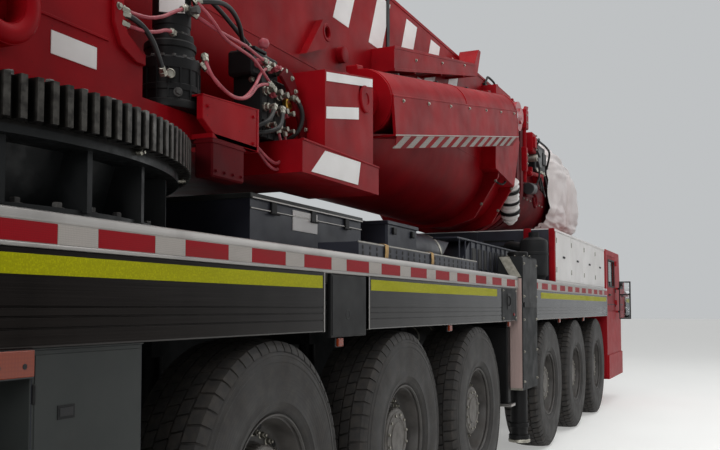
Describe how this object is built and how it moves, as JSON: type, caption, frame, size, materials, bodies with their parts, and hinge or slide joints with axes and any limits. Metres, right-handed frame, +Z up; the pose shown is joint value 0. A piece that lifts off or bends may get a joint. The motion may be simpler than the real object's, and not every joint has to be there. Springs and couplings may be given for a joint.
{
  "type": "mobile crane",
  "caption": "Eight-axle road-going crane: telescopic boom lying forward on twin luffing cylinders, slewing platform, sliding outriggers, low wide driver's cab in front.",
  "frame": {"origin": "on the ground at the middle of the crane's length and width", "axes": "+X forward along the carrier, +Y to its left, +Z up"},
  "size_m": [18.7, 3.42, 4.26],
  "materials": {
    "tyre_rubber": "matt",
    "axle_paint": "satin",
    "chassis_paint": "satin",
    "rod_chrome": "polished",
    "slew_steel": "satin",
    "deck_paint": "matt",
    "skirt_aluminium": "brushed",
    "box_paint": "satin",
    "engine_iron": "matt",
    "cab_red": "gloss",
    "window_glass": "clear",
    "interior_plastic": "matt",
    "lamp_plastic": "gloss",
    "crane_red": "gloss",
    "machine_black": "satin",
    "wrap_sheet": "matt"
  },
  "bodies": {
    "carrier": {"carrier_frame": "chassis_paint", "axle_beams": "axle_paint", "slewing_pedestal": "slew_steel", "deck": "deck_paint", "side_skirts": "skirt_aluminium", "equipment_boxes": "box_paint", "engine_housing": "cab_red", "engine_block": "engine_iron", "cab_shell": "cab_red", "cab_glass": "window_glass", "cab_interior": "interior_plastic", "lamps": "lamp_plastic"},
    "upper": {"superstructure": "crane_red", "winch_and_tail": "crane_red", "upper_equipment": "machine_black"},
    "booth": {"operator_cab": "crane_red"},
    "booth_door": {"operator_door": "crane_red"},
    "boom": {"boom_base": "crane_red"},
    "section_1": {"boom_section_1": "crane_red"},
    "section_2": {"boom_section_2": "crane_red"},
    "head": {"boom_head": "crane_red", "head_wrap": "wrap_sheet"},
    "barrels": {"luffing_barrels": "crane_red"},
    "rods": {"luffing_rods": "rod_chrome"},
    "door_left": {"cab_door_left": "cab_red"},
    "door_right": {"cab_door_right": "cab_red"},
    "knuckle_1_left": {"knuckle_1_left": "axle_paint"},
    "wheel_1_left": {"wheel_1_left": "tyre_rubber"},
    "knuckle_1_right": {"knuckle_1_right": "axle_paint"},
    "wheel_1_right": {"wheel_1_right": "tyre_rubber"},
    "knuckle_2_left": {"knuckle_2_left": "axle_paint"},
    "wheel_2_left": {"wheel_2_left": "tyre_rubber"},
    "knuckle_2_right": {"knuckle_2_right": "axle_paint"},
    "wheel_2_right": {"wheel_2_right": "tyre_rubber"},
    "knuckle_3_left": {"knuckle_3_left": "axle_paint"},
    "wheel_3_left": {"wheel_3_left": "tyre_rubber"},
    "knuckle_3_right": {"knuckle_3_right": "axle_paint"},
    "wheel_3_right": {"wheel_3_right": "tyre_rubber"},
    "wheel_4_left": {"wheel_4_left": "tyre_rubber"},
    "wheel_4_right": {"wheel_4_right": "tyre_rubber"},
    "wheel_5_left": {"wheel_5_left": "tyre_rubber"},
    "wheel_5_right": {"wheel_5_right": "tyre_rubber"},
    "wheel_6_left": {"wheel_6_left": "tyre_rubber"},
    "wheel_6_right": {"wheel_6_right": "tyre_rubber"},
    "knuckle_7_left": {"knuckle_7_left": "axle_paint"},
    "wheel_7_left": {"wheel_7_left": "tyre_rubber"},
    "knuckle_7_right": {"knuckle_7_right": "axle_paint"},
    "wheel_7_right": {"wheel_7_right": "tyre_rubber"},
    "knuckle_8_left": {"knuckle_8_left": "axle_paint"},
    "wheel_8_left": {"wheel_8_left": "tyre_rubber"},
    "knuckle_8_right": {"knuckle_8_right": "axle_paint"},
    "wheel_8_right": {"wheel_8_right": "tyre_rubber"},
    "outrigger_front_left": {"outrigger_beam_front_left": "chassis_paint"},
    "jack_front_left": {"outrigger_jack_front_left": "rod_chrome"},
    "outrigger_front_right": {"outrigger_beam_front_right": "chassis_paint"},
    "jack_front_right": {"outrigger_jack_front_right": "rod_chrome"},
    "outrigger_rear_left": {"outrigger_beam_rear_left": "chassis_paint"},
    "jack_rear_left": {"outrigger_jack_rear_left": "rod_chrome"},
    "outrigger_rear_right": {"outrigger_beam_rear_right": "chassis_paint"},
    "jack_rear_right": {"outrigger_jack_rear_right": "rod_chrome"}
  },
  "joints": [
    {"name": "steer_1_left", "type": "hinge", "parent": "carrier", "child": "knuckle_1_left", "pos_m": [6.12, 1.04, 0.685], "axis": [0, 0, 1], "range_deg": [-30, 30]},
    {"name": "roll_1_left", "type": "hinge", "parent": "knuckle_1_left", "child": "wheel_1_left", "pos_m": [6.12, 1.2875, 0.685], "axis": [0, 1, 0], "continuous": true},
    {"name": "steer_1_right", "type": "hinge", "parent": "carrier", "child": "knuckle_1_right", "pos_m": [6.12, -1.04, 0.685], "axis": [0, 0, 1], "range_deg": [-30, 30]},
    {"name": "roll_1_right", "type": "hinge", "parent": "knuckle_1_right", "child": "wheel_1_right", "pos_m": [6.12, -1.2875, 0.685], "axis": [0, 1, 0], "continuous": true},
    {"name": "steer_2_left", "type": "hinge", "parent": "carrier", "child": "knuckle_2_left", "pos_m": [4.47, 1.04, 0.685], "axis": [0, 0, 1], "range_deg": [-25, 25]},
    {"name": "roll_2_left", "type": "hinge", "parent": "knuckle_2_left", "child": "wheel_2_left", "pos_m": [4.47, 1.2875, 0.685], "axis": [0, 1, 0], "continuous": true},
    {"name": "steer_2_right", "type": "hinge", "parent": "carrier", "child": "knuckle_2_right", "pos_m": [4.47, -1.04, 0.685], "axis": [0, 0, 1], "range_deg": [-25, 25]},
    {"name": "roll_2_right", "type": "hinge", "parent": "knuckle_2_right", "child": "wheel_2_right", "pos_m": [4.47, -1.2875, 0.685], "axis": [0, 1, 0], "continuous": true},
    {"name": "steer_3_left", "type": "hinge", "parent": "carrier", "child": "knuckle_3_left", "pos_m": [2.82, 1.04, 0.685], "axis": [0, 0, 1], "range_deg": [-20, 20]},
    {"name": "roll_3_left", "type": "hinge", "parent": "knuckle_3_left", "child": "wheel_3_left", "pos_m": [2.82, 1.2875, 0.685], "axis": [0, 1, 0], "continuous": true},
    {"name": "steer_3_right", "type": "hinge", "parent": "carrier", "child": "knuckle_3_right", "pos_m": [2.82, -1.04, 0.685], "axis": [0, 0, 1], "range_deg": [-20, 20]},
    {"name": "roll_3_right", "type": "hinge", "parent": "knuckle_3_right", "child": "wheel_3_right", "pos_m": [2.82, -1.2875, 0.685], "axis": [0, 1, 0], "continuous": true},
    {"name": "roll_4_left", "type": "hinge", "parent": "carrier", "child": "wheel_4_left", "pos_m": [0.07, 1.2875, 0.685], "axis": [0, 1, 0], "continuous": true},
    {"name": "roll_4_right", "type": "hinge", "parent": "carrier", "child": "wheel_4_right", "pos_m": [0.07, -1.2875, 0.685], "axis": [0, 1, 0], "continuous": true},
    {"name": "roll_5_left", "type": "hinge", "parent": "carrier", "child": "wheel_5_left", "pos_m": [-1.58, 1.2875, 0.685], "axis": [0, 1, 0], "continuous": true},
    {"name": "roll_5_right", "type": "hinge", "parent": "carrier", "child": "wheel_5_right", "pos_m": [-1.58, -1.2875, 0.685], "axis": [0, 1, 0], "continuous": true},
    {"name": "roll_6_left", "type": "hinge", "parent": "carrier", "child": "wheel_6_left", "pos_m": [-3.23, 1.2875, 0.685], "axis": [0, 1, 0], "continuous": true},
    {"name": "roll_6_right", "type": "hinge", "parent": "carrier", "child": "wheel_6_right", "pos_m": [-3.23, -1.2875, 0.685], "axis": [0, 1, 0], "continuous": true},
    {"name": "steer_7_left", "type": "hinge", "parent": "carrier", "child": "knuckle_7_left", "pos_m": [-5.68, 1.04, 0.685], "axis": [0, 0, 1], "range_deg": [-16, 16]},
    {"name": "roll_7_left", "type": "hinge", "parent": "knuckle_7_left", "child": "wheel_7_left", "pos_m": [-5.68, 1.2875, 0.685], "axis": [0, 1, 0], "continuous": true},
    {"name": "steer_7_right", "type": "hinge", "parent": "carrier", "child": "knuckle_7_right", "pos_m": [-5.68, -1.04, 0.685], "axis": [0, 0, 1], "range_deg": [-16, 16]},
    {"name": "roll_7_right", "type": "hinge", "parent": "knuckle_7_right", "child": "wheel_7_right", "pos_m": [-5.68, -1.2875, 0.685], "axis": [0, 1, 0], "continuous": true},
    {"name": "steer_8_left", "type": "hinge", "parent": "carrier", "child": "knuckle_8_left", "pos_m": [-7.33, 1.04, 0.685], "axis": [0, 0, 1], "range_deg": [-24, 24]},
    {"name": "roll_8_left", "type": "hinge", "parent": "knuckle_8_left", "child": "wheel_8_left", "pos_m": [-7.33, 1.2875, 0.685], "axis": [0, 1, 0], "continuous": true},
    {"name": "steer_8_right", "type": "hinge", "parent": "carrier", "child": "knuckle_8_right", "pos_m": [-7.33, -1.04, 0.685], "axis": [0, 0, 1], "range_deg": [-24, 24]},
    {"name": "roll_8_right", "type": "hinge", "parent": "knuckle_8_right", "child": "wheel_8_right", "pos_m": [-7.33, -1.2875, 0.685], "axis": [0, 1, 0], "continuous": true},
    {"name": "slewing", "type": "hinge", "parent": "carrier", "child": "upper", "pos_m": [-4.35, 0, 2.24], "axis": [0, 0, 1], "continuous": true},
    {"name": "luffing", "type": "hinge", "parent": "upper", "child": "boom", "pos_m": [-5.15, 0, 3.45], "axis": [0, -1, 0], "range_deg": [0, 78]},
    {"name": "telescope_1", "type": "slide", "parent": "boom", "child": "section_1", "axis": [1, 0, 0], "range_m": [0, 7.5]},
    {"name": "telescope_2", "type": "slide", "parent": "section_1", "child": "section_2", "axis": [1, 0, 0], "range_m": [0, 7.5]},
    {"name": "telescope_3", "type": "slide", "parent": "section_2", "child": "head", "axis": [1, 0, 0], "range_m": [0, 7.5]},
    {"name": "cylinder_swing", "type": "hinge", "parent": "upper", "child": "barrels", "pos_m": [-1.75, 0, 2.87], "axis": [0, -1, 0], "range_deg": [0, 92.5]},
    {"name": "cylinder_stroke", "type": "slide", "parent": "barrels", "child": "rods", "axis": [0.9843, 0, 0.1768], "range_m": [0, 4.0019]},
    {"name": "booth_tilt", "type": "hinge", "parent": "upper", "child": "booth", "pos_m": [-4.1, 0, 2.64], "axis": [0, -1, 0], "range_deg": [0, 20]},
    {"name": "booth_door_slide", "type": "slide", "parent": "booth", "child": "booth_door", "axis": [-1, 0, 0], "range_m": [0, 0.65]},
    {"name": "cab_door_left_hinge", "type": "hinge", "parent": "carrier", "child": "door_left", "pos_m": [8, 1.494, 1.9], "axis": [0, 0, -1], "range_deg": [0, 70]},
    {"name": "cab_door_right_hinge", "type": "hinge", "parent": "carrier", "child": "door_right", "pos_m": [8, -1.494, 1.9], "axis": [0, 0, 1], "range_deg": [0, 70]},
    {"name": "outrigger_front_left_slide", "type": "slide", "parent": "carrier", "child": "outrigger_front_left", "axis": [0, 1, 0], "range_m": [0, 2.1]},
    {"name": "jack_front_left_slide", "type": "slide", "parent": "outrigger_front_left", "child": "jack_front_left", "axis": [0, 0, -1], "range_m": [0, 0.6]},
    {"name": "outrigger_front_right_slide", "type": "slide", "parent": "carrier", "child": "outrigger_front_right", "axis": [0, -1, 0], "range_m": [0, 2.1]},
    {"name": "jack_front_right_slide", "type": "slide", "parent": "outrigger_front_right", "child": "jack_front_right", "axis": [0, 0, -1], "range_m": [0, 0.6]},
    {"name": "outrigger_rear_left_slide", "type": "slide", "parent": "carrier", "child": "outrigger_rear_left", "axis": [0, 1, 0], "range_m": [0, 2.1]},
    {"name": "jack_rear_left_slide", "type": "slide", "parent": "outrigger_rear_left", "child": "jack_rear_left", "axis": [0, 0, -1], "range_m": [0, 0.6]},
    {"name": "outrigger_rear_right_slide", "type": "slide", "parent": "carrier", "child": "outrigger_rear_right", "axis": [0, -1, 0], "range_m": [0, 2.1]},
    {"name": "jack_rear_right_slide", "type": "slide", "parent": "outrigger_rear_right", "child": "jack_rear_right", "axis": [0, 0, -1], "range_m": [0, 0.6]}
  ],
  "couplings": [
    {"joint": "steer_1_right", "follows": "steer_1_left", "ratio": 1},
    {"joint": "steer_2_left", "follows": "steer_1_left", "ratio": 0.83333},
    {"joint": "steer_2_right", "follows": "steer_1_left", "ratio": 0.83333},
    {"joint": "steer_3_left", "follows": "steer_1_left", "ratio": 0.66667},
    {"joint": "steer_3_right", "follows": "steer_1_left", "ratio": 0.66667},
    {"joint": "steer_7_left", "follows": "steer_8_left", "ratio": 0.66667},
    {"joint": "steer_7_right", "follows": "steer_8_left", "ratio": 0.66667},
    {"joint": "steer_8_right", "follows": "steer_8_left", "ratio": 1},
    {"joint": "cylinder_swing", "follows": "luffing", "ratio": 1.1856},
    {"joint": "cylinder_stroke", "follows": "luffing", "m_per_rad": 2.9389}
  ]
}
